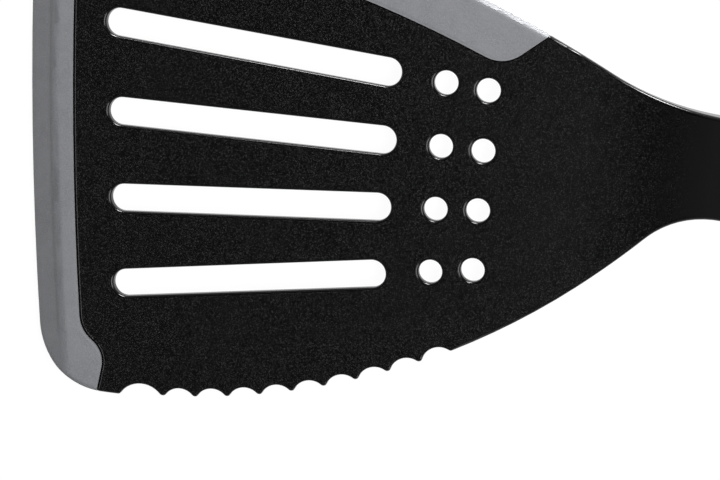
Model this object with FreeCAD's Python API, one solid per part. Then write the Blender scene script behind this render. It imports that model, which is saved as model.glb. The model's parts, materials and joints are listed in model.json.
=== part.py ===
import FreeCAD, Part
import os
from math import asin, atan2, cos, degrees, hypot, pi, radians, sin, sqrt, tan

# A long-handled grill spatula, in millimetres.
# It is drawn with the handle along +X, the silicone side of the blade towards +Y, the serrated side
# towards -Y, the underside of the blade at z = 0 and the circle of the front edge touching x = 0.
# Last of all, everything is moved so that the origin is at the middle of the base.

V = FreeCAD.Vector
X_AXIS = V(1, 0, 0)
Y_AXIS = V(0, 1, 0)
Z_AXIS = V(0, 0, 1)

# Blade outline. Each side is one long arc, and the corners between them are rounded.
front_radius = 778.0            # front edge
front_square_y = 48.5           # where the front edge is square to the handle
serrated_radius = 143.6         # serrated side
serrated_low_x = 21.5           # where that side is furthest from the handle's line
serrated_reach = 60.0           # and how far
scraper_radius = 271.4          # silicone side
scraper_high_x = -7.5
scraper_reach = 44.8
serrated_corner_radius = 14.5
scraper_corner_radius = 13.0
neck_width = 19.0
serrated_neck_radius = 19.2     # hollow between the serrated side and the neck
scraper_neck_radius = 50.0      # hollow between the silicone side and the neck
blade_thickness = 2.4
edge_round = 0.7
bite_edge_round = 0.5           # on the serrations

# Drain slots and holes, on rays that fan out from a point on the handle's line.
fan_x = 240.7
fan_y = -2.2
fan_pitch = 4.52                # degrees from one ray to the next
fan_first = 4.52                # degrees from the handle's line to the ray nearest the silicone side
slot_count = 4
slot_width = 5.5
slot_start_x = 20.5             # centre of the front end of a slot that lies on the handle's line
slot_start_slant = 0.094        # how far that end moves back for each mm towards the serrated side
slot_end_x = 73.25              # centre of the back end of a slot that lies on the handle's line
column_slant = 0.011            # the same for those ends and for the columns of holes
hole_radius = 2.32
hole_column_first = 11.5        # from the slots' back ends to the first column of holes
hole_column_pitch = 8.25
hole_columns = 2

# Serrated side: one wide scallop, then a row of equal ones. The teeth stand a little behind the outline.
tooth_radius = 143.1            # circle through the tips of the teeth
tooth_low_x = 22.25
tooth_reach = 59.5
scallop_radius = 3.62
scallop_depth = 1.65
scallop_pitch = 6.81
scallop_count = 9
lead_scallop_radius = 5.3
lead_scallop_depth = 2.15
lead_scallop_x = 28.6
lead_scallop_gap = 8.1          # from the wide scallop to the first of the row

# Silicone edge moulded round the front and the scraping side.
front_band = 9.0
scraper_band = 9.4
lobe_turn_y = -47.3             # where the serrated end leaves the band
lobe_tip_x = 20.4
lobe_tip_y = -51.6
lobe_end_x = 19.2               # where it runs out on the serrated side
lobe_round = 5.5
lobe_turn_round = 6.5
tail_x = 95.4                   # where the scraping end turns outwards
tail_angle = 39.5
tail_round = 6.5
bevel_width = 5.4
bevel_blend = 5.0               # radius of its inner crease
lip_thickness = 1.0             # of the front edge, below the bevel
joint_round = 0.35              # on the blade's edge beside the silicone
flange_thickness = 1.0          # blade's tongue inside the silicone
flange_setback = 3.7            # from the outer edge to the tongue
anchor_radius = 1.2             # holes in the tongue that the silicone fills
anchor_pitch = 9.5

# Crank from the blade up to the handle.
crank_start_x = 121.0
crank_end_x = 166.0
neck_thickness = 8.0
handle_axis_z = 13.0

# Steel tang that carries the handle.
tang_width = 12.0
tang_thickness = 3.0
tang_fit = 0.05
tang_end_gap = 0.5              # in front of the tang in its socket
tenon_width = 14.5
tenon_length = 32.0
socket_wall = 3.0               # solid neck in front of the tang's end
rivet_radius = 1.6
rivet_head_radius = 2.8
rivet_head_height = 0.9
rivet_spacing = 12.0

# Handle. Its section is two half ellipses on one width, above and below the parting plane.
handle_front_x = 168.0
handle_length = 250.0
handle_front_half_width = 11.8
handle_rear_half_width = 14.6
handle_side_swell = 1.6
handle_front_top = 8.2
handle_rear_top = 11.0
handle_top_swell = 2.0
handle_front_bottom = 7.6
handle_bottom_swell = 1.2
handle_stations = 9
shell_wall = 2.6
collar_length = 5.0
collar_socket = 2.0             # how deep the neck sits in the collar
collar_round = 1.6
collar_fit = 0.05
bulkhead = 3.0                  # front wall of the shells, round the tenon
saddle_width = 2.4
saddle_count = 2
saddle_spacing = 10.5

# Soft grips let into the shells.
grip_depth = 1.5
grip_proud = 0.3
grip_rib_height = 0.6
grip_rib_width = 1.6
grip_rib_pitch = 6.0
grip_start = 26.0               # from the front of the handle
grip_length = 176.0
grip_front_radius = 4.6
grip_rear_radius = 8.0

# Screws that clamp the shells on the tang.
screw_radius = 1.6
screw_head_radius = 3.0
screw_head_height = 2.2
screw_hole_gap = 0.15
screw_boss_radius = 4.6
screw_first = 60.0              # from the front of the handle
screw_last = 14.0               # from the rear end of the shells
screw_count = 3
screw_grip = 6.0                # length of screw in the upper shell
screw_seat = 3.0                # solid shell between a screw's head and the tang

# End cap and the wire loop that hangs the tool up.
cap_length = 17.0
cap_tenon_length = 30.0
cap_tenon_fit = 0.15
cap_roundness = 0.9             # 1 would close the dome to a point
cap_tongue_width = 17.0
cap_shoulder = 2.5              # full-width part of the cap in front of the loop
pivot_back = 9.0                # from the front of the cap to the loop's pivot
loop_wire_radius = 1.5
loop_side_gap = 0.4
loop_reach = 30.0               # from the pivot to the middle of the wire at the loop's far end
loop_bend_radius = 6.0
loop_end_depth = 5.0            # of the turned-in ends in the cap
loop_pivot_fit = 0.05
floor_gap = 0.2                 # under the loop at rest

# What follows from the sizes above.
edge_radius = min(edge_round, 0.3 * blade_thickness)
bite_edge_radius = min(bite_edge_round, 0.25 * blade_thickness)
blade_middle_z = blade_thickness / 2
neck_end_x = handle_front_x + collar_socket
tenon_end_x = neck_end_x + tenon_length
collar_back_x = handle_front_x + collar_length
socket_front_x = crank_end_x + socket_wall
handle_rear_x = handle_front_x + handle_length
pivot_x = handle_rear_x + pivot_back
pivot_z = handle_axis_z
loop_rest_angle = degrees(asin((pivot_z - loop_wire_radius - floor_gap) / loop_reach))
screw_pitch = (handle_length - screw_first - screw_last) / (screw_count - 1)
screw_xs = [handle_front_x + screw_first + i * screw_pitch for i in range(screw_count)]
tang_end_x = screw_xs[-1] + tang_width / 2
rivet_xs = [tenon_end_x - tenon_length / 2 + side * rivet_spacing / 2 for side in (-1, 1)]
above = 40.0                    # taller than anything that is cut from the side view
reach = 400.0                   # wider than the whole tool

front_circle = (V(front_radius, front_square_y, 0), front_radius)
serrated_circle = (V(serrated_low_x, serrated_radius - serrated_reach, 0), serrated_radius)
tooth_circle = (V(tooth_low_x, tooth_radius - tooth_reach, 0), tooth_radius)
scraper_circle = (V(scraper_high_x, scraper_reach - scraper_radius, 0), scraper_radius)


# Plane geometry.

def shrunk(circle, inset):
    return circle[0], circle[1] - inset


def crossing(one, two, side):
    """Where two circles cross, to the left (1) or right (-1) of the line from one to two."""
    way = two[0].sub(one[0])
    apart = way.Length
    along = (apart ** 2 + one[1] ** 2 - two[1] ** 2) / (2 * apart)
    across = sqrt(one[1] ** 2 - along ** 2)
    way.normalize()
    return one[0] + way * along + V(-way.y, way.x, 0) * (side * across)


def at_height(circle, y):
    """The point of a circle at height y, on its side towards the handle."""
    centre, radius = circle
    return V(centre.x + sqrt(radius ** 2 - (y - centre.y) ** 2), y, 0)


def touch(circle, other):
    """Where a circle touches another one that is tangent to it."""
    way = other[0] - circle[0]
    way.normalize()
    return circle[0] + way * circle[1]


def round_corner(one, two, side, radius):
    """The circle of a radius that rounds the corner where two circles cross."""
    return crossing(shrunk(one, radius), shrunk(two, radius), side), radius


def neck_hollow(circle, side, radius):
    """The circle of a radius that leads from a side of the blade into the neck."""
    return at_height(shrunk(circle, -radius), side * (neck_width / 2 + radius)), radius


def arc(circle, start, end):
    centre, radius = circle
    middle = (start - centre) + (end - centre)
    middle.normalize()
    return Part.Arc(start, centre + middle * radius, end).toShape()


def lines(points):
    return [Part.makeLine(a, b) for a, b in zip(points, points[1:])]


def prism(edges, bottom, height):
    solid = Part.Face(Part.Wire(edges)).extrude(Z_AXIS * height)
    solid.translate(Z_AXIS * bottom)
    return solid


def is_upright(edge, point):
    """True for a vertical edge that stands over a point of the plan."""
    ends = [v.Point for v in edge.Vertexes]
    near = all(hypot(p.x - point.x, p.y - point.y) < 1e-4 for p in ends)
    return len(ends) == 2 and near


def round_uprights(solid, corners):
    """Round the vertical edges that stand over the given (point, radius) corners."""
    for point, radius in corners:
        edges = [e for e in solid.Edges if is_upright(e, point)]
        solid = solid.makeFillet(radius, edges)
    return solid


# Blade.

def plan_prism(insets, corner_radii):
    """The head seen from above, its front, serrated and scraping sides moved inwards by the insets."""
    front = shrunk(front_circle, insets[0])
    serrated = shrunk(serrated_circle, insets[1])
    scraper = shrunk(scraper_circle, insets[2])
    low_corner = round_corner(front, serrated, 1, corner_radii[0])
    high_corner = round_corner(front, scraper, -1, corner_radii[1])
    low_hollow = neck_hollow(serrated, -1, serrated_neck_radius + insets[1])
    high_hollow = neck_hollow(scraper, 1, scraper_neck_radius + insets[2])
    low_neck = V(low_hollow[0].x, -neck_width / 2, 0)
    high_neck = V(high_hollow[0].x, neck_width / 2, 0)
    low_end = V(neck_end_x, low_neck.y, 0)
    high_end = V(neck_end_x, high_neck.y, 0)
    edges = [
        arc(front, touch(front, high_corner), touch(front, low_corner)),
        arc(low_corner, touch(front, low_corner), touch(serrated, low_corner)),
        arc(serrated, touch(serrated, low_corner), touch(serrated, low_hollow)),
        arc(low_hollow, touch(serrated, low_hollow), low_neck),
    ]
    edges += lines([low_neck, low_end, high_end, high_neck])
    edges += [
        arc(high_hollow, high_neck, touch(scraper, high_hollow)),
        arc(scraper, touch(scraper, high_hollow), touch(scraper, high_corner)),
        arc(high_corner, touch(scraper, high_corner), touch(front, high_corner)),
    ]
    return prism(edges, -1, above)


def inset_plan(front, serrated, scraper):
    """The head's plan moved inwards, with its corners still parallel to the outer ones."""
    serrated_corner = serrated_corner_radius - max(front, serrated)
    scraper_corner = scraper_corner_radius - max(front, scraper)
    return plan_prism((front, serrated, scraper), (serrated_corner, scraper_corner))


def s_curve(start, end):
    """A smooth step from one level to another in the side view."""
    half = (end.x - start.x) / 2
    curve = Part.BezierCurve()
    curve.setPoles([start, start + X_AXIS * half, end - X_AXIS * half, end])
    return curve.toShape()


def side_body():
    """The head's side view: flat blade, crank and neck, as wide as the whole blade."""
    low = handle_axis_z - neck_thickness / 2
    high = handle_axis_z + neck_thickness / 2
    top_start = crank_start_x - neck_thickness
    under = [V(-reach, 0, 0), V(crank_start_x, 0, 0)]
    end = [V(crank_end_x, 0, low), V(neck_end_x, 0, low), V(neck_end_x, 0, high), V(crank_end_x, 0, high)]
    top = [V(top_start, 0, blade_thickness), V(-reach, 0, blade_thickness), under[0]]
    edges = lines(under) + [s_curve(under[1], end[0])] + lines(end) + [s_curve(top[0], end[3])] + lines(top)
    face = Part.Face(Part.Wire(edges))
    face.translate(Y_AXIS * -reach)
    return face.extrude(Y_AXIS * 2 * reach)


def on_ray(index, x, slant):
    """Where a ray meets the slanting line that crosses the handle's line at x."""
    slope = tan(radians(fan_first - index * fan_pitch))
    meet = (x - slant * (fan_y + fan_x * slope)) / (1 - slant * slope)
    return V(meet, fan_y + (fan_x - meet) * slope, 0)


def stadium(start, start_radius, end, end_radius):
    """A prism round two circles and the lines that touch both."""
    way = end - start
    lean = (start_radius - end_radius) / way.Length
    way.normalize()
    side = V(-way.y, way.x, 0) * sqrt(1 - lean ** 2)
    left = way * lean + side
    right = way * lean - side
    edges = lines([start + left * start_radius, end + left * end_radius])
    ahead = end + way * end_radius
    edges.append(Part.Arc(end + left * end_radius, ahead, end + right * end_radius).toShape())
    edges += lines([end + right * end_radius, start + right * start_radius])
    back = start - way * start_radius
    edges.append(Part.Arc(start + right * start_radius, back, start + left * start_radius).toShape())
    return prism(edges, -1, above)


def drain_cutters():
    cutters = []
    for index in range(slot_count):
        start = on_ray(index, slot_start_x, slot_start_slant)
        end = on_ray(index, slot_end_x, column_slant)
        cutters.append(stadium(start, slot_width / 2, end, slot_width / 2))
        for column in range(hole_columns):
            x = slot_end_x + hole_column_first + column * hole_column_pitch
            place = on_ray(index, x, column_slant) - Z_AXIS
            cutters.append(Part.makeCylinder(hole_radius, above, place))
    return cutters


def scallop_place(angle, radius, depth):
    """Middle of one bite out of the teeth's circle, at an angle about the middle of that circle."""
    centre = tooth_circle[0]
    away = tooth_radius + radius - depth
    return V(centre.x + away * sin(angle), centre.y - away * cos(angle), -1)


def tooth_strip(start, end):
    """What is cut off between two places so that the teeth end on their own circle."""
    strip = Part.makeBox(end.x - start.x, reach, above, V(start.x, -reach, -1))
    return strip.cut(Part.makeCylinder(tooth_radius, above, tooth_circle[0] - Z_AXIS))


def scallop_cutters():
    middle_radius = tooth_radius + scallop_radius - scallop_depth
    lead = (lead_scallop_x - tooth_low_x) / middle_radius
    lead_place = scallop_place(lead, lead_scallop_radius, lead_scallop_depth)
    cutters = [Part.makeCylinder(lead_scallop_radius, above, lead_place)]
    first = lead + lead_scallop_gap / middle_radius
    for index in range(scallop_count):
        place = scallop_place(first + index * scallop_pitch / middle_radius, scallop_radius, scallop_depth)
        cutters.append(Part.makeCylinder(scallop_radius, above, place))
    return cutters + [tooth_strip(lead_place, place)]


def is_rim(edge):
    """True for an edge that runs round the head's outline or an opening, on the top or the underside."""
    box = edge.BoundBox
    upright = box.XLength + box.YLength < 1e-3
    at_end = box.XMin > neck_end_x - 1e-3
    return not upright and not at_end


def is_bite(edge):
    """True for an edge of a scallop."""
    if not isinstance(edge.Curve, Part.Circle):
        return False
    return any(abs(edge.Curve.Radius - radius) < 1e-4 for radius in (scallop_radius, lead_scallop_radius))


def rounded_head():
    """The whole head without its tongue: outline, crank, openings and serrations, all edges rounded."""
    head = inset_plan(0, 0, 0).common(side_body())
    head = head.cut(drain_cutters() + scallop_cutters())
    rims = [e for e in head.Edges if is_rim(e)]
    head = head.makeFillet(edge_radius, [e for e in rims if not is_bite(e)])
    bites = [e for e in head.Edges if is_rim(e) and is_bite(e)]
    return head.makeFillet(bite_edge_radius, bites)


def band_plan():
    """The silicone seen from above: a band along the front and scraping side with a lobe at each end."""
    front = shrunk(front_circle, front_band)
    scraper = shrunk(scraper_circle, scraper_band)
    corner = round_corner(front, scraper, -1, scraper_corner_radius - max(front_band, scraper_band))
    turn = V(front[0].x - sqrt(front[1] ** 2 - (lobe_turn_y - front[0].y) ** 2), lobe_turn_y, 0)
    tip = V(lobe_tip_x, lobe_tip_y, 0)
    tail = V(tail_x, scraper[0].y + sqrt(scraper[1] ** 2 - (tail_x - scraper[0].x) ** 2), 0)
    lobe_end = V(lobe_end_x, -serrated_reach, 0)
    lobe_out = lobe_end + (lobe_end - tip)
    tail_out = tail + V(cos(radians(tail_angle)), sin(radians(tail_angle)), 0) * above
    edges = lines([lobe_out, tip, turn])
    edges += [
        arc(front, turn, touch(front, corner)),
        arc(corner, touch(front, corner), touch(scraper, corner)),
        arc(scraper, touch(scraper, corner), tail),
    ]
    edges += lines([tail, tail_out, V(-above, 2 * above, 0), V(-above, lobe_out.y, 0), lobe_out])
    corners = [(turn, lobe_turn_round), (tip, lobe_round), (tail, tail_round)]
    return inset_plan(0, 0, 0).common(round_uprights(prism(edges, -1, above), corners))


def flange():
    """The blade's thin tongue inside the silicone, with holes that lock the two together."""
    tongue = inset_plan(flange_setback, flange_setback, flange_setback).common(band_plan())
    bottom = blade_middle_z - flange_thickness / 2
    slab = Part.makeBox(2 * reach, 2 * reach, flange_thickness, V(-reach, -reach, bottom))
    return tongue.common(slab).cut(anchor_cutters())


def anchor_cutters():
    """Pins along the middle of the tongue, at one pitch round the front and the scraping side."""
    cutters = []
    front_row = shrunk(front_circle, (flange_setback + front_band) / 2)
    scraper_row = shrunk(scraper_circle, (flange_setback + scraper_band) / 2)
    front_length = scraper_reach - scraper_corner_radius - lobe_turn_y
    for index in range(int(front_length / anchor_pitch)):
        y = lobe_turn_y + (index + 0.5) * anchor_pitch
        x = front_row[0].x - sqrt(front_row[1] ** 2 - (y - front_square_y) ** 2)
        cutters.append(Part.makeCylinder(anchor_radius, above, V(x, y, -1)))
    side_start = scraper_corner_radius + anchor_pitch / 2
    for index in range(int((tail_x - side_start) / anchor_pitch)):
        x = side_start + index * anchor_pitch
        y = scraper_row[0].y + sqrt(scraper_row[1] ** 2 - (x - scraper_high_x) ** 2)
        cutters.append(Part.makeCylinder(anchor_radius, above, V(x, y, -1)))
    return cutters


def on_joint(edge, band):
    """True for an edge on the top or the underside of the blade that runs along the silicone."""
    middle = edge.valueAt((edge.FirstParameter + edge.LastParameter) / 2)
    on_face = min(abs(middle.z - blade_thickness), abs(middle.z)) < 1e-4
    return on_face and band.isInside(middle, 1e-3, True)


def centred_box(x1, x2, width, thickness, middle_z):
    """A box from x1 to x2, centred on the handle's line."""
    return Part.makeBox(x2 - x1, width, thickness, V(x1, -width / 2, middle_z - thickness / 2))


def tang_bar(fit):
    """The steel bar, or with a fit the slot that it goes in."""
    start = socket_front_x + tang_end_gap - fit
    width = tang_width + 2 * fit
    return centred_box(start, tang_end_x + fit, width, tang_thickness + 2 * fit, handle_axis_z)


def post(x, radius, low, high):
    """An upright cylinder on the handle's line."""
    return Part.makeCylinder(radius, high - low, V(x, 0, low))


def blade(head, band):
    """The moulded head: slotted blade, crank, neck and the tenon that goes in the handle."""
    core = head.cut(band)
    core = core.makeFillet(joint_round, [e for e in core.Edges if on_joint(e, band)])
    tenon = centred_box(neck_end_x, tenon_end_x, tenon_width, neck_thickness, handle_axis_z)
    solid = core.fuse([flange(), tenon]).cut(tang_bar(tang_fit))
    for x in rivet_xs:
        solid = solid.cut(post(x, rivet_radius, 0, above))
    return solid


def bevel_envelope():
    """All that lies under the bevel: a disc as round as the front edge, its rim falling to the lip.

    The bevel keeps its width along the front and dies out where the outline turns away from it.
    """
    rise = blade_thickness - lip_thickness
    lean = atan2(rise, bevel_width)
    crease = front_radius - bevel_width
    blend = bevel_blend * tan(lean / 2)
    rim = V(front_radius + bevel_width, 0, lip_thickness - rise)
    low = V(crease + blend * cos(lean), 0, blade_thickness - blend * sin(lean))
    high = V(crease - blend, 0, blade_thickness)
    middle = V(high.x + bevel_blend * sin(lean / 2), 0, high.z - bevel_blend * (1 - cos(lean / 2)))
    edges = lines([V(0, 0, high.z), V(0, 0, rim.z), rim, low])
    edges += [Part.Arc(low, middle, high).toShape(), Part.makeLine(high, V(0, 0, high.z))]
    disc = Part.Face(Part.Wire(edges)).revolve(V(0, 0, 0), Z_AXIS, 360)
    disc.translate(front_circle[0])
    return disc


def silicone_edge(head, band, core):
    """The soft edge: it fills the band from face to face and closes round the blade's tongue."""
    return head.common(band).common(bevel_envelope()).cut(core)


# Tang and what it is fastened with.

def tang():
    corners = [(V(tang_end_x, side * tang_width / 2, 0), tang_width / 4) for side in (-1, 1)]
    bar = round_uprights(tang_bar(0), corners)
    holes = [post(x, rivet_radius, 0, above) for x in rivet_xs]
    holes += [post(x, screw_radius + screw_hole_gap, 0, above) for x in screw_xs]
    return bar.cut(holes)


def neck_rivets():
    """Flat-headed rivets through the tenon and the tang."""
    low = handle_axis_z - neck_thickness / 2
    high = handle_axis_z + neck_thickness / 2
    rivets = []
    for x in rivet_xs:
        shank = post(x, rivet_radius, low, high)
        heads = [post(x, rivet_head_radius, low - rivet_head_height, low),
                 post(x, rivet_head_radius, high, high + rivet_head_height)]
        rivets.append(shank.fuse(heads).removeSplitter())
    return Part.makeCompound(rivets)


# Handle. Stations along it run from 0 at the front of the collar to 1 at the end cap.

def half_width(station):
    taper = handle_front_half_width + (handle_rear_half_width - handle_front_half_width) * station
    return taper + handle_side_swell * sin(pi * station)


def top_height(station):
    taper = handle_front_top + (handle_rear_top - handle_front_top) * station
    return taper + handle_top_swell * sin(pi * station)


def bottom_height(station):
    """The underside drops at the rear until it rests on the same surface as the blade."""
    drop = (handle_axis_z - handle_front_bottom) * station ** 4
    return handle_front_bottom + drop + handle_bottom_swell * sin(pi * station)


def half_ellipse(x, width, height):
    """Half an ellipse across the handle, on the parting plane; a negative height hangs below it."""
    bow = Part.Arc(V(0, -1, 0), V(0, 0, 1), V(0, 1, 0)).toShape()
    shape = FreeCAD.Matrix()
    shape.scale(1, width, height)
    shape.move(x, 0, handle_axis_z)
    return bow.transformGeometry(shape)


def half_section(station, side, grow):
    """One shell's outline at a station, made larger or smaller by grow."""
    height = top_height(station) if side > 0 else bottom_height(station)
    x = handle_front_x + station * handle_length
    width = half_width(station) + grow
    bow = half_ellipse(x, width, side * (height + grow))
    return Part.Wire([bow, Part.makeLine(V(x, width, handle_axis_z), V(x, -width, handle_axis_z))])


def half_body(side, grow, first=0.0, last=1.0, hidden=False):
    """The upper (1) or lower (-1) half of the handle between two stations, as a solid.

    Outer faces are smooth from end to end. Hidden ones run straight between stations twice as close.
    """
    steps = (handle_stations - 1) * (2 if hidden else 1)
    sections = []
    for index in range(steps + 1):
        station = first + (last - first) * index / steps
        sections.append(half_section(station, side, grow))
    return Part.makeLoft(sections, True, hidden)


def whole_section(x, width, top, bottom):
    return Part.Wire([half_ellipse(x, width, top), half_ellipse(x, width, -bottom)])


def grip_plan():
    """The tapering outline of both grips, seen from above."""
    front = V(handle_front_x + grip_start + grip_front_radius, 0, 0)
    rear = V(handle_front_x + grip_start + grip_length - grip_rear_radius, 0, 0)
    return stadium(front, grip_front_radius, rear, grip_rear_radius)


def grip_pocket(side):
    """What is cut from a shell to let its grip in."""
    plan = grip_plan().common(half_space(side))
    return plan.cut(half_body(side, -grip_depth))


def half_space(side):
    low = handle_axis_z if side > 0 else handle_axis_z - above
    return Part.makeBox(2 * reach, 2 * reach, above, V(-reach, -reach, low))


def grip(side):
    """A soft inlay: it stands a little proud of its shell and carries a row of low ribs."""
    pocket = grip_pocket(side)
    pad = pocket.common(half_body(side, grip_proud))
    rib_layer = pocket.common(half_body(side, grip_proud + grip_rib_height))
    first = handle_front_x + grip_start + 2 * grip_front_radius
    rib_count = int((grip_length - 2 * grip_front_radius - grip_rear_radius) / grip_rib_pitch)
    slabs = []
    for index in range(rib_count):
        x = first + index * grip_rib_pitch
        slabs.append(centred_box(x, x + grip_rib_width, reach, above, handle_axis_z))
    return pad.fuse(rib_layer.common(Part.makeCompound(slabs))).removeSplitter()


def saddles(side):
    """Ribs across the inside of a shell that hold the tenon."""
    face = handle_axis_z + side * neck_thickness / 2
    far = face + side * above
    ribs = []
    for step in range(saddle_count):
        middle = (neck_end_x + tenon_end_x) / 2 + step * saddle_spacing
        corner = V(middle - saddle_width / 2, -reach / 2, min(face, far))
        ribs.append(Part.makeBox(saddle_width, reach, above, corner))
    return ribs


def shell(side):
    """Half of the handle: a hollow wall, closed in front round the tenon, with screw bosses on the tang."""
    start = collar_length / handle_length
    outside = half_body(side, 0, start)
    cavity = half_body(side, -shell_wall, start + bulkhead / handle_length, hidden=True)
    wall = outside.cut(cavity)
    tang_face = handle_axis_z + side * tang_thickness / 2
    far = tang_face + side * above
    posts = [post(x, screw_boss_radius, min(tang_face, far), max(tang_face, far)) for x in screw_xs]
    inside = [piece.common(outside) for piece in posts + saddles(side)]
    tenon_room = centred_box(neck_end_x, tenon_end_x + collar_fit, tenon_width + 2 * collar_fit,
                             neck_thickness + 2 * collar_fit, handle_axis_z)
    return wall.fuse(inside).cut([tenon_room, grip_pocket(side)])


def upper_shell():
    """The upper half, with blind holes that the screws cut their thread in."""
    tang_top = handle_axis_z + tang_thickness / 2
    return shell(1).cut([post(x, screw_radius, tang_top, tang_top + screw_grip) for x in screw_xs])


def lower_shell():
    """The lower half, with clearance holes and deep seats for the screw heads."""
    tang_under = handle_axis_z - tang_thickness / 2
    seat = tang_under - screw_seat
    holes = [post(x, screw_radius + screw_hole_gap, seat, tang_under) for x in screw_xs]
    holes += [post(x, screw_head_radius + screw_hole_gap, seat - above, seat) for x in screw_xs]
    return shell(-1).cut(holes)


def handle_screws():
    """Screws from below, with a socket in each head."""
    tang_under = handle_axis_z - tang_thickness / 2
    seat = tang_under - screw_seat
    tip = handle_axis_z + tang_thickness / 2 + screw_grip
    screws = []
    for x in screw_xs:
        shank = post(x, screw_radius, seat, tip)
        top = post(x, screw_head_radius, seat - screw_head_height, seat)
        recess = post(x, screw_head_radius / 2, seat - screw_head_height, seat - screw_head_height / 2)
        screws.append(shank.fuse(top).cut(recess).removeSplitter())
    return Part.makeCompound(screws)


def collar():
    """The ring that closes the front of the handle round the neck."""
    sections = []
    for station in (0.0, collar_length / handle_length):
        x = handle_front_x + station * handle_length
        sections.append(whole_section(x, half_width(station), top_height(station), bottom_height(station)))
    ring = Part.makeLoft(sections, True, False)
    front_edges = [e for e in ring.Edges if e.BoundBox.XMax < handle_front_x + 1e-3]
    ring = ring.makeFillet(collar_round, front_edges)
    neck = centred_box(handle_front_x - 1, neck_end_x, neck_width + 2 * collar_fit,
                       neck_thickness + 2 * collar_fit, handle_axis_z)
    tenon = centred_box(neck_end_x - 1, collar_back_x + 1, tenon_width + 2 * collar_fit,
                        neck_thickness + 2 * collar_fit, handle_axis_z)
    return ring.cut([neck, tenon])


# End cap and hanging loop.

def cap_dome():
    """The rounded end of the handle, each section smaller than the one before."""
    sections = []
    for index in range(handle_stations):
        way = index / (handle_stations - 1)
        size = sqrt(1 - (cap_roundness * way) ** 2)
        x = handle_rear_x + way * cap_length
        top = top_height(1) * size
        bottom = bottom_height(1) * size
        sections.append(whole_section(x, half_width(1) * size, top, bottom))
    return Part.makeLoft(sections, True, False)


def cap_tenon():
    """The plug that goes inside the shells, drilled for the last pair of screw bosses."""
    start = 1 - cap_tenon_length / handle_length
    grow = -shell_wall - cap_tenon_fit
    halves = [half_body(side, grow, start, hidden=True) for side in (1, -1)]
    plug = halves[0].fuse(halves[1])
    fit = cap_tenon_fit
    boss = post(screw_xs[-1], screw_boss_radius + fit, -above, above)
    return plug.cut([boss, tang_bar(fit)])


def end_cap():
    """Dome and plug in one, cut away at both sides so that the loop can swing round its tongue."""
    solid = cap_dome().fuse(cap_tenon()).removeSplitter()
    shoulder = handle_rear_x + cap_shoulder
    for side in (-1, 1):
        low = cap_tongue_width / 2 if side > 0 else -cap_tongue_width / 2 - reach
        solid = solid.cut(Part.makeBox(reach, reach, reach, V(shoulder, low, -reach / 2)))
        mouth = V(pivot_x, side * cap_tongue_width / 2, pivot_z)
        depth = loop_end_depth + loop_pivot_fit
        socket = Part.makeCylinder(loop_wire_radius + loop_pivot_fit, depth, mouth, Y_AXIS * -side)
        solid = solid.cut(socket)
    return solid


def loop_path():
    """Centre line of half the wire, from its turned-in end to the middle of the far end."""
    leg_y = cap_tongue_width / 2 + loop_side_gap + loop_wire_radius
    turn = leg_y - cap_tongue_width / 2
    end = V(0, cap_tongue_width / 2 - loop_end_depth, 0)
    a = V(0, leg_y - turn, 0)
    b = V(turn, leg_y, 0)
    c = V(loop_reach - loop_bend_radius, leg_y, 0)
    d = V(loop_reach, leg_y - loop_bend_radius, 0)
    quarter = 1 - sqrt(0.5)
    first_bend = Part.Arc(a, V(turn * quarter, leg_y - turn * quarter, 0), b).toShape()
    bend = loop_bend_radius * quarter
    second_bend = Part.Arc(c, V(loop_reach - bend, leg_y - bend, 0), d).toShape()
    straight = [Part.makeLine(end, a), Part.makeLine(b, c), Part.makeLine(d, V(loop_reach, 0, 0))]
    return Part.Wire([straight[0], first_bend, straight[1], second_bend, straight[2]])


def hang_loop():
    """Wire loop whose turned-in ends are its pivots; at rest it leans back on the table."""
    end = V(0, cap_tongue_width / 2 - loop_end_depth, 0)
    section = Part.Wire(Part.makeCircle(loop_wire_radius, end, Y_AXIS))
    half = loop_path().makePipeShell([section], True, False)
    loop = half.fuse(half.mirror(V(0, 0, 0), Y_AXIS)).removeSplitter()
    loop.rotate(V(0, 0, 0), Y_AXIS, loop_rest_angle)
    loop.translate(V(pivot_x, 0, pivot_z))
    return loop


def build():
    """Every piece of the spatula by name, with the origin at the middle of the base."""
    head = rounded_head()
    band = band_plan()
    core = blade(head, band)
    pieces = {
        "blade": core,
        "silicone_edge": silicone_edge(head, band, core),
        "tang": tang(),
        "neck_rivets": neck_rivets(),
        "collar": collar(),
        "upper_shell": upper_shell(),
        "lower_shell": lower_shell(),
        "upper_grip": grip(1),
        "lower_grip": grip(-1),
        "handle_screws": handle_screws(),
        "end_cap": end_cap(),
        "hang_loop": hang_loop(),
    }
    base = Part.makeCompound(list(pieces.values())).optimalBoundingBox(False)
    origin = V(base.Center.x, base.Center.y, 0)
    for piece in pieces.values():
        piece.translate(origin * -1)
    return pieces, origin


pieces, origin = build()
os.makedirs("parts", exist_ok=True)
for name, piece in pieces.items():
    piece.exportStep("parts/" + name + ".step")
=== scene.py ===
import json
from math import cos, radians, sin

import bmesh
import bpy
from mathutils import Matrix, Vector

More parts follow.
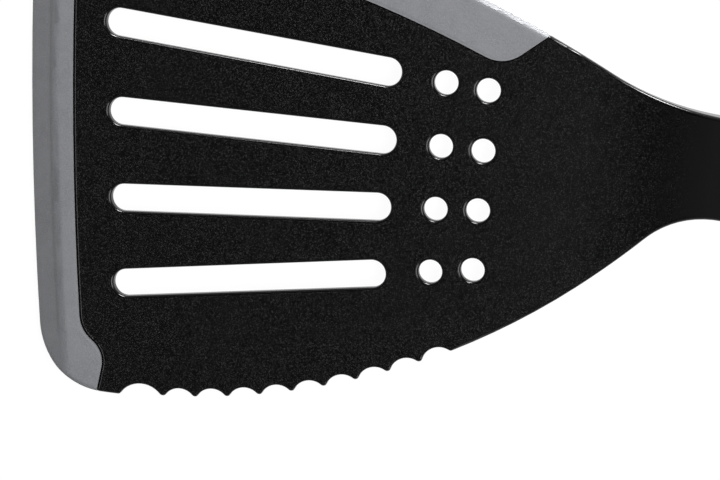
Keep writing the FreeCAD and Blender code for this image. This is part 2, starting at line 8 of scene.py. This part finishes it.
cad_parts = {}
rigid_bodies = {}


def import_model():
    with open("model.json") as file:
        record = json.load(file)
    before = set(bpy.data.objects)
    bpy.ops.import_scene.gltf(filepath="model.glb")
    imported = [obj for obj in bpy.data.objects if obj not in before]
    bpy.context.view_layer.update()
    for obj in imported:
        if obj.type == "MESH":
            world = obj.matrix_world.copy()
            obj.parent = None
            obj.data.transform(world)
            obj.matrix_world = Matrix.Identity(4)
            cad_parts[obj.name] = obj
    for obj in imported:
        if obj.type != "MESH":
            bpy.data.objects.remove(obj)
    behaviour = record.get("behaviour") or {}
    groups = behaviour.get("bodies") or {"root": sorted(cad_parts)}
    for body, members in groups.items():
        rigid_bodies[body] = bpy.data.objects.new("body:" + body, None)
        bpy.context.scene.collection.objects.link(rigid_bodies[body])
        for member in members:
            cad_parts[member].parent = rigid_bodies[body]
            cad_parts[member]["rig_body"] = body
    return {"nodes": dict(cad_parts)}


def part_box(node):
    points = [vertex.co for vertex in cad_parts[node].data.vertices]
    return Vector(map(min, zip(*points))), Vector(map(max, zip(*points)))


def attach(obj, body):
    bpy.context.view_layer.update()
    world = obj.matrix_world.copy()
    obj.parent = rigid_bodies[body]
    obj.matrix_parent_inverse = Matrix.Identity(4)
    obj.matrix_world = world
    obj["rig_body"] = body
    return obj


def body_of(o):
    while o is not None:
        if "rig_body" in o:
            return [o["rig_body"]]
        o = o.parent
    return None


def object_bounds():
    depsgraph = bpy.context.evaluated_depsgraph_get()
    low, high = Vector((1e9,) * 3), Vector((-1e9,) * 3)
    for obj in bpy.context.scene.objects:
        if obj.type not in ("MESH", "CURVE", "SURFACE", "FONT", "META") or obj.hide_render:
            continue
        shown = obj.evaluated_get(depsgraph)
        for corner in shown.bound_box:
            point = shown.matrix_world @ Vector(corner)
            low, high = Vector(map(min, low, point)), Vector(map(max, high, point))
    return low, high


# The looks of a grill spatula: moulded nylon, soft silicone, steel and a white studio table.
# All sizes are in metres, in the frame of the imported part.

MM = 0.001
UP = Vector((0, 0, 1))

# Camera: a long lens that looks down on the head, from the silicone side and a little from the handle.
LENS = 95.0
SENSOR = 36.0
CAMERA_DISTANCE = 0.3723
CAMERA_TILT = 14.08             # degrees from straight above
CAMERA_SIDE = 49.06             # degrees from the handle's direction towards the silicone side
CAMERA_TURN = 5.07              # how far the handle leans from level in the picture
AIM_BEHIND_FRONT = 70.52 * MM
AIM_FROM_MIDDLE = -14.29 * MM

# Black nylon. Colours are linear, and roughness goes from 0 to 1. GLINT and HANDLE_GLINT are painted glints: the
# paler colour put on the few grains that stand in for grains catching the light.
BLACK = (0.0001,) * 3
GLINT = (0.0420,) * 3
HANDLE_BLACK = (0.0030,) * 3
HANDLE_GLINT = (0.0360,) * 3
NYLON_IOR = 1.53
NYLON_SHINE = 0.22
LIP_SHINE = 0.3
GRAIN_SIZE = 0.12 * MM
GRAIN_SKEW = 9.0                # the higher, the fewer grains painted with the glint colour
GRAIN_SMOOTH = 0.34             # roughness of a plain grain
GRAIN_ROUGH = 0.56              # roughness of a grain painted with the glint colour
GRAIN_IN_RELIEF = 0.4           # how much the grains add to the surface's fine waves
WAVE_SIZE = 0.32 * MM
BLADE_RELIEF = 0.028 * MM
HANDLE_RELIEF = 0.03 * MM
CLOUD_SIZE = 9 * MM
CLOUD_DEPTH = 0.01
EDGE_ROUGHNESS = 0.20
LEVEL = (0.9, 0.99)             # upright part of the normal where a level face begins and is complete
FLAW_SIZE = 0.45 * MM
FLAW_RELIEF = 0.04 * MM

# Grey silicone.
EDGE_GREY = (0.178, 0.181, 0.193)
EDGE_PALE = (0.214, 0.217, 0.229)
SILICONE_IOR = 1.41
MOTTLE_SIZE = 5 * MM
MOTTLE_RELIEF = 0.01 * MM
FINE_SIZE = 0.25 * MM
FINE_RELIEF = 0.02 * MM
FINE_PALER = 1.16
DUST_SIZE = 0.4 * MM
DUST_PALER = 1.35
CREASE_SOFTNESS = 1.0 * MM
GRIP_SOFTNESS = 0.3 * MM
CREASE_MATCH = (0.975, 0.985)   # cosine of soft to plain normal: a sharp corner is below, a soft crease above

# Steel.
BRUSH_SIZE = 0.3 * MM
BRUSH_RELIEF = 0.008 * MM
MARK_SIZE = 6 * MM
MARK_DARKER = 0.82
ALONG_X = (0.03, 1.0, 1.0)      # brushed along the tool
EVEN = (1.0, 1.0, 1.0)

# Gap and lip along the joint of silicone and nylon. The gap is a dark cord of painted shade, with two tones of
# painted shade mixed by a noise.
GAP_SHADE_TONES = ((0.0004,) * 3, (0.0020,) * 3)
GAP_NOISE_SIZE = 0.5 * MM
GAP_NOISE_RELIEF = 0.02 * MM
GAP_END_TURN = 0.5              # where the joint turns from the front to the side
JOINT_STEEPNESS = 80            # degrees that the face turns at the silicone's inner edge
JOINT_TAPER = 0.5               # thickness of the cords at their far end
GAP_RADIUS = 0.50 * MM
GAP_PROUD = 0.036 * MM
GAP_OFFSET = 0.15 * MM
LIP_RADIUS = 0.13 * MM
LIP_PROUD = 0.045 * MM
LIP_OFFSET = 0.42 * MM
JOINT_TOLERANCE = 0.002 * MM

# Table and surroundings.
TABLE_SIZE = 8.0
TABLE_GLOW = 0.965              # what the camera sees of the table where no light falls
TABLE_SHADE = 0.06              # how much the lamps and the shadows change it
TABLE_BOUNCE = 0.80             # how much light it throws back on the object
WALL_LIGHT = 0.6
WALL_TOP = 0.30                 # sine of the height up to which the walls are white
CEILING_LIGHT = 0.04
CEILING_EDGE = 0.75             # sine of the height where the ceiling begins
AMBIENT = 0.45                  # share of the room's light that falls on matt surfaces

# Lamps: bearing from +X, height above the table and spread in degrees, power in watts.
LAMPS = {
    "key_lamp": dict(bearing=-10, height=38, distance=0.80, size=(0.80, 0.40), power=9.2),
    "front_lamp": dict(bearing=195, height=48, distance=0.50, size=(0.25, 0.25), power=0.06),
    "back_lamp": dict(bearing=86, height=6, distance=1.0, size=(0.60, 0.20), power=1.8, spread=36),
}

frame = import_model()
cad_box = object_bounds()


# Materials.

class Material:
    """A node material with a Principled shader. Its texture coordinates are the frame's, in metres."""

    def __init__(self, name, **sockets):
        self.material = bpy.data.materials.new(name)
        self.material.use_nodes = True
        self.tree = self.material.node_tree
        self.shader = self.tree.nodes["Principled BSDF"]
        for socket, value in sockets.items():
            self.shader.inputs[socket.replace("_", " ")].default_value = value
        self.place = self.node("ShaderNodeTexCoord").outputs["Object"]

    def node(self, kind, **settings):
        node = self.tree.nodes.new(kind)
        for key, value in settings.items():
            setattr(node, key, value)
        return node

    def link(self, output, target):
        self.tree.links.new(output, target)

    def set(self, socket, output):
        self.link(output, self.shader.inputs[socket])

    def stretched(self, scale):
        """Coordinates stretched along each axis."""
        mapping = self.node("ShaderNodeMapping")
        mapping.inputs["Scale"].default_value = scale
        self.link(self.place, mapping.inputs["Vector"])
        return mapping.outputs["Vector"]

    def noise(self, size, detail=2.0, roughness=0.5, where=None):
        """Noise whose grains are about as large as size."""
        node = self.node("ShaderNodeTexNoise")
        node.inputs["Scale"].default_value = 1 / size
        node.inputs["Detail"].default_value = detail
        node.inputs["Roughness"].default_value = roughness
        self.link(where or self.place, node.inputs["Vector"])
        return node.outputs["Fac"]

    def grains(self, size):
        """A value from 0 to 1 for each grain of the moulded surface."""
        node = self.node("ShaderNodeTexVoronoi", feature="F1")
        node.inputs["Scale"].default_value = 1 / size
        self.link(self.place, node.inputs["Vector"])
        parts = self.node("ShaderNodeSeparateColor")
        self.link(node.outputs["Color"], parts.inputs["Color"])
        return parts.outputs["Red"]

    def ramp(self, value, low, high, out_low=0.0, out_high=1.0):
        """Maps low..high to out_low..out_high and holds it there outside."""
        node = self.node("ShaderNodeMapRange")
        for socket, number in (("From Min", low), ("From Max", high), ("To Min", out_low), ("To Max", out_high)):
            node.inputs[socket].default_value = number
        self.link(value, node.inputs["Value"])
        return node.outputs["Result"]

    def maths(self, operation, one, two):
        node = self.node("ShaderNodeMath", operation=operation)
        for socket, value in zip(node.inputs, (one, two)):
            if isinstance(value, (int, float)):
                socket.default_value = value
            else:
                self.link(value, socket)
        return node.outputs["Value"]

    def colours(self, factor, one, two):
        """One colour where factor is 0, the other where it is 1."""
        node = self.node("ShaderNodeMix", data_type="RGBA")
        self.link(factor, node.inputs["Factor"])
        for socket, colour in (("A", one), ("B", two)):
            target = [s for s in node.inputs if s.name == socket and s.type == "RGBA"][0]
            if isinstance(colour, bpy.types.NodeSocket):
                self.link(colour, target)
            else:
                target.default_value = (*colour, 1.0)
        return [s for s in node.outputs if s.type == "RGBA"][0]

    def flatness(self):
        """1 on level faces, 0 on rounded edges and walls."""
        parts = self.node("ShaderNodeSeparateXYZ")
        self.link(self.node("ShaderNodeNewGeometry").outputs["Normal"], parts.inputs["Vector"])
        return self.ramp(self.maths("ABSOLUTE", parts.outputs["Z"], 0.0), *LEVEL)

    def soft_creases(self, radius):
        """Normals that run softly over shallow creases and leave sharp corners as they are."""
        soft = self.node("ShaderNodeBevel", samples=8)
        soft.inputs["Radius"].default_value = radius
        plain = self.node("ShaderNodeNewGeometry").outputs["Normal"]
        match = self.node("ShaderNodeVectorMath", operation="DOT_PRODUCT")
        self.link(soft.outputs["Normal"], match.inputs[0])
        self.link(plain, match.inputs[1])
        mix = self.node("ShaderNodeMix", data_type="VECTOR")
        self.link(self.ramp(match.outputs["Value"], *CREASE_MATCH), mix.inputs["Factor"])
        ends = [i for i in mix.inputs if i.type == "VECTOR" and i.name in ("A", "B")]
        self.link(plain, ends[0])
        self.link(soft.outputs["Normal"], ends[1])
        return [o for o in mix.outputs if o.type == "VECTOR"][0]

    def bump(self, height, depth, strength=1.0, under=None):
        node = self.node("ShaderNodeBump")
        node.inputs["Distance"].default_value = depth
        if isinstance(strength, (int, float)):
            node.inputs["Strength"].default_value = strength
        else:
            self.link(strength, node.inputs["Strength"])
        self.link(height, node.inputs["Height"])
        if under is not None:
            self.link(under, node.inputs["Normal"])
        return node.outputs["Normal"]


def grained_nylon(name, dark, glint, relief, smooth_edges):
    """Black glass-filled nylon: spark-eroded grain on its faces, with a few grains painted paler as painted glints.
    With smooth_edges, its round edges are polished.
    """
    m = Material(name, IOR=NYLON_IOR, Specular_IOR_Level=NYLON_SHINE)
    texture = m.flatness() if smooth_edges else 1.0
    grain = m.grains(GRAIN_SIZE)
    waves = m.noise(WAVE_SIZE, detail=3.0, roughness=0.65)
    height = m.maths("ADD", waves, m.maths("MULTIPLY", grain, GRAIN_IN_RELIEF))
    m.set("Normal", m.bump(height, relief, texture))
    # painted glint: the few grains that get the paler glint colour, on level faces only where the edges are polished
    painted_glint = m.maths("MULTIPLY", m.maths("POWER", grain, GRAIN_SKEW), texture)
    m.set("Base Color", m.colours(painted_glint, dark, glint))
    cloud = m.ramp(m.noise(CLOUD_SIZE, detail=4.0), 0.3, 0.7, -CLOUD_DEPTH, CLOUD_DEPTH)
    faces = m.maths("ADD", m.ramp(painted_glint, 0.0, 1.0, GRAIN_SMOOTH, GRAIN_ROUGH), cloud)
    if smooth_edges:
        rougher = m.maths("MULTIPLY", m.maths("SUBTRACT", faces, EDGE_ROUGHNESS), texture)
        faces = m.maths("ADD", rougher, EDGE_ROUGHNESS)
    m.set("Roughness", faces)
    return m.material


def soft_silicone(name, softness):
    """Grey matt silicone with a faint mottle, dust specks, a dry sheen and creases as wide as softness."""
    m = Material(name, IOR=SILICONE_IOR, Specular_IOR_Level=0.5, Sheen_Weight=0.08, Sheen_Roughness=0.4)
    mottle = m.ramp(m.noise(MOTTLE_SIZE, detail=4.0, roughness=0.6), 0.3, 0.7)
    fine = m.noise(FINE_SIZE, detail=2.0)
    # real dust specks on the silicone; in the gap cord the same name is only a noise in the painted shade
    dust_and_shade_noise = m.ramp(m.noise(DUST_SIZE, detail=1.0), 0.70, 0.78)
    base = m.colours(mottle, EDGE_GREY, EDGE_PALE)
    base = m.colours(m.ramp(fine, 0.35, 0.65, 0.0, 0.6), base, tuple(FINE_PALER * c for c in EDGE_PALE))
    m.set("Base Color", m.colours(dust_and_shade_noise, base, tuple(DUST_PALER * c for c in EDGE_PALE)))
    m.set("Roughness", m.ramp(m.noise(3 * MM, detail=3.0), 0.3, 0.7, 0.52, 0.62))
    waves = m.bump(mottle, MOTTLE_RELIEF, under=m.soft_creases(softness))
    m.set("Normal", m.bump(fine, FINE_RELIEF, under=waves))
    return m.material


def polished_nylon(name):
    """Black nylon where the mould was polished: glossy, with small flaws that break up the shine and are painted
    paler in the painted glint colour.
    """
    m = Material(name, IOR=NYLON_IOR, Specular_IOR_Level=LIP_SHINE)
    flaws = m.noise(FLAW_SIZE, detail=3.0, roughness=0.7)
    # painted glint: the flaws get the paler glint colour
    m.set("Base Color", m.colours(m.ramp(flaws, 0.4, 0.7), BLACK, GLINT))
    m.set("Roughness", m.ramp(flaws, 0.40, 0.60, 0.24, 0.60))
    m.set("Normal", m.bump(flaws, FLAW_RELIEF))
    return m.material


def shadow_gap(name):
    """A dark cord of painted shade for the bottom of a gap, where hardly any light falls: a noise mixes two tones of
    painted shade and varies its roughness and bumps.
    """
    m = Material(name, Specular_IOR_Level=0.05)
    dust_and_shade_noise = m.ramp(m.noise(GAP_NOISE_SIZE, detail=2.0), 0.5, 0.8)
    # painted shade: the cord is near black, a little darker or paler where the noise says
    m.set("Base Color", m.colours(dust_and_shade_noise, *GAP_SHADE_TONES))
    m.set("Roughness", m.ramp(dust_and_shade_noise, 0.0, 1.0, 0.8, 0.95))
    m.set("Normal", m.bump(dust_and_shade_noise, GAP_NOISE_RELIEF))
    return m.material


def steel(name, colour, roughness, stretch):
    """Steel with fine brush lines, finest along one axis, and darker handling marks."""
    m = Material(name, Metallic=1.0)
    lines = m.noise(BRUSH_SIZE, detail=4.0, roughness=0.7, where=m.stretched(stretch))
    marks = m.ramp(m.noise(MARK_SIZE, detail=4.0), 0.35, 0.7)
    m.set("Base Color", m.colours(marks, colour, tuple(MARK_DARKER * c for c in colour)))
    m.set("Roughness", m.ramp(lines, 0.3, 0.7, roughness - 0.06, roughness + 0.08))
    m.set("Normal", m.bump(lines, BRUSH_RELIEF, 0.6))
    return m.material


FINISHES = {
    "blade": lambda: grained_nylon("blade_nylon", BLACK, GLINT, BLADE_RELIEF, True),
    "silicone_edge": lambda: soft_silicone("edge_silicone", CREASE_SOFTNESS),
    "tang": lambda: steel("tang_steel", (0.50, 0.50, 0.49), 0.38, ALONG_X),
    "neck_rivets": lambda: steel("rivet_steel", (0.55, 0.55, 0.54), 0.30, EVEN),
    "collar": lambda: steel("collar_steel", (0.60, 0.60, 0.59), 0.24, EVEN),
    "upper_shell": lambda: grained_nylon("upper_nylon", HANDLE_BLACK, HANDLE_GLINT, HANDLE_RELIEF, False),
    "lower_shell": lambda: grained_nylon("lower_nylon", HANDLE_BLACK, HANDLE_GLINT, HANDLE_RELIEF, False),
    "upper_grip": lambda: soft_silicone("upper_grip_silicone", GRIP_SOFTNESS),
    "lower_grip": lambda: soft_silicone("lower_grip_silicone", GRIP_SOFTNESS),
    "handle_screws": lambda: steel("screw_steel", (0.52, 0.52, 0.51), 0.32, EVEN),
    "end_cap": lambda: grained_nylon("cap_nylon", HANDLE_BLACK, HANDLE_GLINT, HANDLE_RELIEF, False),
    "hang_loop": lambda: steel("wire_steel", (0.62, 0.62, 0.61), 0.16, EVEN),
}


def dress():
    """Every node of the part gets its finish in place of its plain one."""
    for name, make in FINISHES.items():
        slots = frame["nodes"][name].material_slots
        material = make()
        for slot in slots:
            slot.material = material


# The fine line where the silicone meets the nylon on the upper face: a dark cord of painted shade for the gap, and a
# polished nylon lip.

def sharp_inner_edges(mesh, top):
    """The mesh's upper edges where its level face meets an upright wall."""
    level = [e for e in mesh.edges if all(abs(v.co.z - top) < JOINT_TOLERANCE for v in e.verts)]
    return [e for e in level if len(e.link_faces) == 2 and e.calc_face_angle() > radians(JOINT_STEEPNESS)]


def joint_path():
    """The joint's points in order, each with the direction from the silicone to the nylon."""
    solid = frame["nodes"]["silicone_edge"]
    mesh = bmesh.new()
    mesh.from_mesh(solid.data)
    mesh.transform(solid.matrix_world)
    bmesh.ops.remove_doubles(mesh, verts=mesh.verts, dist=JOINT_TOLERANCE)
    edges = sharp_inner_edges(mesh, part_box("silicone_edge")[1].z)
    beside = {}
    for edge in edges:
        for vertex in edge.verts:
            beside.setdefault(vertex, []).append(edge)
    ends = sorted((v for v in beside if len(beside[v]) == 1), key=lambda v: v.co.y)
    path, edge, vertex = [], None, ends[0]
    while vertex is not None:
        walls = [f.normal for e in beside[vertex] for f in e.link_faces if abs(f.normal.z) < 0.5]
        path.append((vertex.co.copy(), sum(walls, Vector()).normalized()))
        onward = [e for e in beside[vertex] if e is not edge]
        edge = onward[0] if onward else None
        vertex = edge.other_vert(vertex) if edge else None
    mesh.free()
    return path


def along_joint(name, path, radius, proud, offset, material):
    """A fine cord of one material along the joint, let into the face so that only its top stands proud."""
    data = bpy.data.curves.new(name, "CURVE")
    data.dimensions = "3D"
    data.bevel_depth = radius
    data.bevel_resolution = 3
    data.use_fill_caps = True
    spline = data.splines.new("POLY")
    spline.points.add(len(path) - 1)
    for point, (place, across) in zip(spline.points, path):
        point.co = (*(place + across * offset - UP * (radius - proud)), 1.0)
    spline.points[-1].radius = JOINT_TAPER
    piece = bpy.data.objects.new(name, data)
    bpy.context.scene.collection.objects.link(piece)
    data.materials.append(material)
    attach(piece, body_of(frame["nodes"]["blade"])[0])


def joint():
    """The gap beside the silicone, a dark cord of painted shade, and the nylon's polished lip beside the gap, as far
    as the front goes.
    """
    path = joint_path()
    turn = next(i for i, (place, across) in enumerate(path) if place.y > 0 and across.y < -GAP_END_TURN)
    path = path[:turn]
    along_joint("joint_gap", path, GAP_RADIUS, GAP_PROUD, GAP_OFFSET, shadow_gap("gap_shade"))
    along_joint("joint_lip", path, LIP_RADIUS, LIP_PROUD, LIP_OFFSET, polished_nylon("lip_nylon"))


# Table, room, lamps and camera.

def seen_rays(nodes, links):
    """1 for rays from the camera and for those that mirror or pass light, 0 for the rest."""
    path = nodes.new("ShaderNodeLightPath")
    total = None
    for name in ("Is Camera Ray", "Is Glossy Ray", "Is Transmission Ray"):
        if total is None:
            total = path.outputs[name]
            continue
        both = nodes.new("ShaderNodeMath")
        both.operation = "MAXIMUM"
        links.new(total, both.inputs[0])
        links.new(path.outputs[name], both.inputs[1])
        total = both.outputs[0]
    return total


def table():
    """A plain white table that keeps the object's faint shadow."""
    bpy.ops.mesh.primitive_plane_add(size=TABLE_SIZE, location=(0, 0, min(0.0, cad_box[0].z)))
    top = bpy.context.object
    top.name = "table"
    material = bpy.data.materials.new("table_white")
    material.use_nodes = True
    nodes, links = material.node_tree.nodes, material.node_tree.links
    nodes.remove(nodes["Principled BSDF"])
    bounce = nodes.new("ShaderNodeBsdfDiffuse")
    bounce.inputs["Color"].default_value = (TABLE_BOUNCE,) * 3 + (1.0,)
    shade = nodes.new("ShaderNodeBsdfDiffuse")
    shade.inputs["Color"].default_value = (TABLE_SHADE,) * 3 + (1.0,)
    glow = nodes.new("ShaderNodeEmission")
    glow.inputs["Color"].default_value = (TABLE_GLOW,) * 3 + (1.0,)
    seen = nodes.new("ShaderNodeAddShader")
    links.new(shade.outputs[0], seen.inputs[0])
    links.new(glow.outputs[0], seen.inputs[1])
    both = nodes.new("ShaderNodeMixShader")
    links.new(seen_rays(nodes, links), both.inputs[0])
    links.new(bounce.outputs[0], both.inputs[1])
    links.new(seen.outputs[0], both.inputs[2])
    links.new(both.outputs[0], nodes["Material Output"].inputs["Surface"])
    top.data.materials.append(material)


def room():
    """White walls and a dark ceiling. Matt surfaces get a share of their light."""
    world = bpy.data.worlds.new("room")
    bpy.context.scene.world = world
    world.use_nodes = True
    nodes, links = world.node_tree.nodes, world.node_tree.links
    parts = nodes.new("ShaderNodeSeparateXYZ")
    links.new(nodes.new("ShaderNodeTexCoord").outputs["Generated"], parts.inputs["Vector"])
    height = nodes.new("ShaderNodeMapRange")
    height.interpolation_type = "SMOOTHSTEP"
    for socket, number in (("From Min", WALL_TOP), ("From Max", CEILING_EDGE),
                           ("To Min", WALL_LIGHT), ("To Max", CEILING_LIGHT)):
        height.inputs[socket].default_value = number
    links.new(parts.outputs["Z"], height.inputs["Value"])
    share = nodes.new("ShaderNodeMapRange")
    share.inputs["To Min"].default_value = AMBIENT
    share.inputs["To Max"].default_value = 1.0
    links.new(seen_rays(nodes, links), share.inputs["Value"])
    level = nodes.new("ShaderNodeMath")
    level.operation = "MULTIPLY"
    links.new(height.outputs["Result"], level.inputs[0])
    links.new(share.outputs["Result"], level.inputs[1])
    links.new(level.outputs[0], nodes["Background"].inputs["Strength"])
    nodes["Background"].inputs["Color"].default_value = (1, 1, 1, 1)


def lamp(name, aim, bearing, height, distance, size, power, spread=180):
    """A soft lamp, size wide and high, that faces aim. A grid in front of it can narrow its light to spread."""
    data = bpy.data.lights.new(name, "AREA")
    data.shape = "RECTANGLE"
    data.size, data.size_y = size
    data.energy = power
    data.spread = radians(spread)
    away = Vector((cos(radians(height)) * cos(radians(bearing)), cos(radians(height)) * sin(radians(bearing)),
                   sin(radians(height))))
    thing = bpy.data.objects.new(name, data)
    thing.location = aim + away * distance
    thing.rotation_euler = away.to_track_quat("Z", "Y").to_euler()
    bpy.context.scene.collection.objects.link(thing)


def head_aim():
    """The point of the blade's top face that the camera looks at."""
    low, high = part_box("silicone_edge")
    return Vector((low.x + AIM_BEHIND_FRONT, (low.y + high.y) / 2 + AIM_FROM_MIDDLE, high.z))


def camera(aim):
    tilt, side, turn = radians(CAMERA_TILT), radians(CAMERA_SIDE), radians(CAMERA_TURN)
    back = Vector((sin(tilt) * cos(side), sin(tilt) * sin(side), cos(tilt)))
    level = Vector((cos(turn), sin(turn), 0))
    right = (level - UP * (level.dot(back) / back.z)).normalized()
    pose = Matrix((right, back.cross(right), back)).transposed().to_4x4()
    pose.translation = aim + back * CAMERA_DISTANCE
    data = bpy.data.cameras.new("camera")
    data.lens = LENS
    data.sensor_width = SENSOR
    data.clip_start = 0.01
    thing = bpy.data.objects.new("camera", data)
    bpy.context.scene.collection.objects.link(thing)
    thing.matrix_world = pose
    bpy.context.scene.camera = thing


def studio():
    aim = head_aim()
    table()
    room()
    for name, setting in LAMPS.items():
        lamp(name, aim, **setting)
    camera(aim)
    bpy.context.scene.view_settings.view_transform = "Standard"


dress()
joint()
studio()
